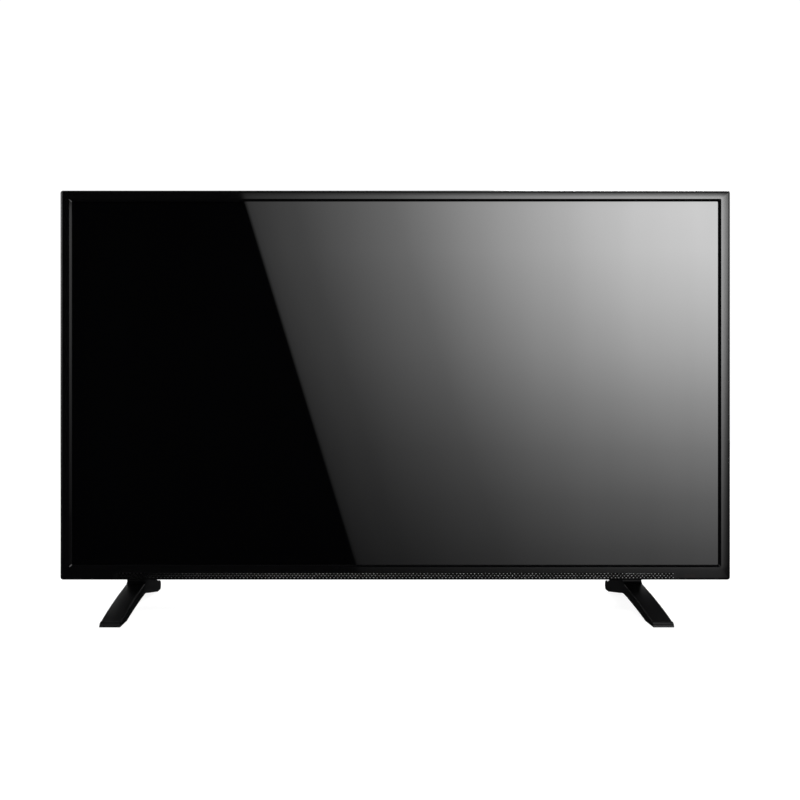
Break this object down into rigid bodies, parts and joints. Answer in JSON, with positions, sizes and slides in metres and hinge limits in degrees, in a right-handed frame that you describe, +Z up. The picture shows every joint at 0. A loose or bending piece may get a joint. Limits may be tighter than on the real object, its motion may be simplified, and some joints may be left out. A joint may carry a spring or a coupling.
{
  "type": "flat screen television",
  "caption": "Flat screen television with a gloss bezel, perforated lower strip, two arched feet, wall-mount posts, side keys and a mains rocker.",
  "frame": {"origin": "middle of the box that holds the set, at the level it stands on", "axes": "+X to the right of someone who faces the screen, +Y towards the back, +Z up"},
  "size_m": [0.917, 0.21, 0.5776],
  "materials": {
    "bezel_gloss": "polished black moulding",
    "strip_gloss": "black moulding with a satin shine",
    "smoked_window": "dark red smoked plastic",
    "foam": "soft black foam",
    "screen_face": "glossy polarising film",
    "panel_glass": "thin display glass",
    "flex_film": "amber polyimide film",
    "frame_plastic": "matt black moulding",
    "optical_film": "milky film",
    "white_film": "white reflective film",
    "clear_acrylic": "clear moulded acrylic",
    "tray_steel": "galvanised sheet steel",
    "turned_steel": "turned steel",
    "aluminium": "extruded, plain",
    "board_green": "green solder mask",
    "board_tan": "tan phenolic board",
    "board_white": "white solder mask",
    "chip_black": "black epoxy",
    "can_sleeve": "shrunk sleeve",
    "ferrite": "grey ferrite",
    "nickel": "nickel-plated steel",
    "lead_sleeve": "soft black insulation",
    "cable_white": "white flat cable",
    "cover_black": "matt black, fine leather-like grain",
    "key_black": "satin black",
    "inlet_black": "smooth black",
    "rocker_black": "smooth black",
    "speaker_plastic": "black moulding",
    "cone_paper": "black paper cone",
    "magnet": "ferrite magnet",
    "screw_black": "black zinc",
    "foot_black": "satin black moulding",
    "pad_rubber": "black rubber"
  },
  "bodies": {
    "set": {"front_bezel": "bezel_gloss", "grille_strip": "strip_gloss", "ir_window": "smoked_window", "panel_gasket": "foam", "front_polariser": "screen_face", "lcd_cell": "panel_glass", "rear_polariser": "screen_face", "source_boards": "board_green", "cof_films": "flex_film", "mid_frame": "frame_plastic", "prism_sheet": "optical_film", "diffuser_sheet": "optical_film", "diffuser_plate": "optical_film", "reflector_sheet": "white_film", "led_bars": "board_white", "led_lenses": "clear_acrylic", "diffuser_supports": "clear_acrylic", "backlight_chassis": "tray_steel", "vesa_standoffs": "turned_steel", "foot_brackets": "tray_steel", "main_board": "board_green", "main_board_chips": "chip_black", "main_heatsink": "aluminium", "hdmi_sockets": "nickel", "usb_sockets": "nickel", "network_socket": "chip_black", "aerial_socket": "nickel", "audio_sockets": "chip_black", "tcon_board": "board_green", "flat_cables": "cable_white", "power_board": "board_tan", "power_transformers": "ferrite", "power_capacitors": "can_sleeve", "power_heatsinks": "aluminium", "power_harness": "lead_sleeve", "ir_board": "board_green", "key_board": "board_green", "tact_switches": "chip_black", "mains_inlet": "inlet_black", "mains_switch": "inlet_black", "speaker_box_left": "speaker_plastic", "speaker_box_right": "speaker_plastic", "speaker_cones": "cone_paper", "speaker_magnets": "magnet", "inner_leads": "lead_sleeve", "rear_cover": "cover_black", "cover_screws": "screw_black", "board_screws": "nickel", "foot_left": "foot_black", "foot_right": "foot_black", "foot_screws": "screw_black", "foot_pads": "pad_rubber"},
    "key_power": {"key_power": "key_black"},
    "key_source": {"key_source": "key_black"},
    "key_menu": {"key_menu": "key_black"},
    "key_channel_up": {"key_channel_up": "key_black"},
    "key_channel_down": {"key_channel_down": "key_black"},
    "key_volume_up": {"key_volume_up": "key_black"},
    "key_volume_down": {"key_volume_down": "key_black"},
    "mains_rocker": {"mains_rocker": "rocker_black"}
  },
  "joints": [
    {"name": "power_press", "type": "slide", "parent": "set", "child": "key_power", "axis": [1, 0, 0], "range_m": [0, 0.0005], "stiffness_N_per_m": 1200, "springref_m": -0.0006},
    {"name": "source_press", "type": "slide", "parent": "set", "child": "key_source", "axis": [1, 0, 0], "range_m": [0, 0.0005], "stiffness_N_per_m": 1200, "springref_m": -0.0006},
    {"name": "menu_press", "type": "slide", "parent": "set", "child": "key_menu", "axis": [1, 0, 0], "range_m": [0, 0.0005], "stiffness_N_per_m": 1200, "springref_m": -0.0006},
    {"name": "channel_up_press", "type": "slide", "parent": "set", "child": "key_channel_up", "axis": [1, 0, 0], "range_m": [0, 0.0005], "stiffness_N_per_m": 1200, "springref_m": -0.0006},
    {"name": "channel_down_press", "type": "slide", "parent": "set", "child": "key_channel_down", "axis": [1, 0, 0], "range_m": [0, 0.0005], "stiffness_N_per_m": 1200, "springref_m": -0.0006},
    {"name": "volume_up_press", "type": "slide", "parent": "set", "child": "key_volume_up", "axis": [1, 0, 0], "range_m": [0, 0.0005], "stiffness_N_per_m": 1200, "springref_m": -0.0006},
    {"name": "volume_down_press", "type": "slide", "parent": "set", "child": "key_volume_down", "axis": [1, 0, 0], "range_m": [0, 0.0005], "stiffness_N_per_m": 1200, "springref_m": -0.0006},
    {"name": "rocker_tilt", "type": "hinge", "parent": "set", "child": "mains_rocker", "pos_m": [-0.2986, 0.0162, 0.1985], "axis": [0, -1, 0], "range_deg": [0, 14]}
  ]
}
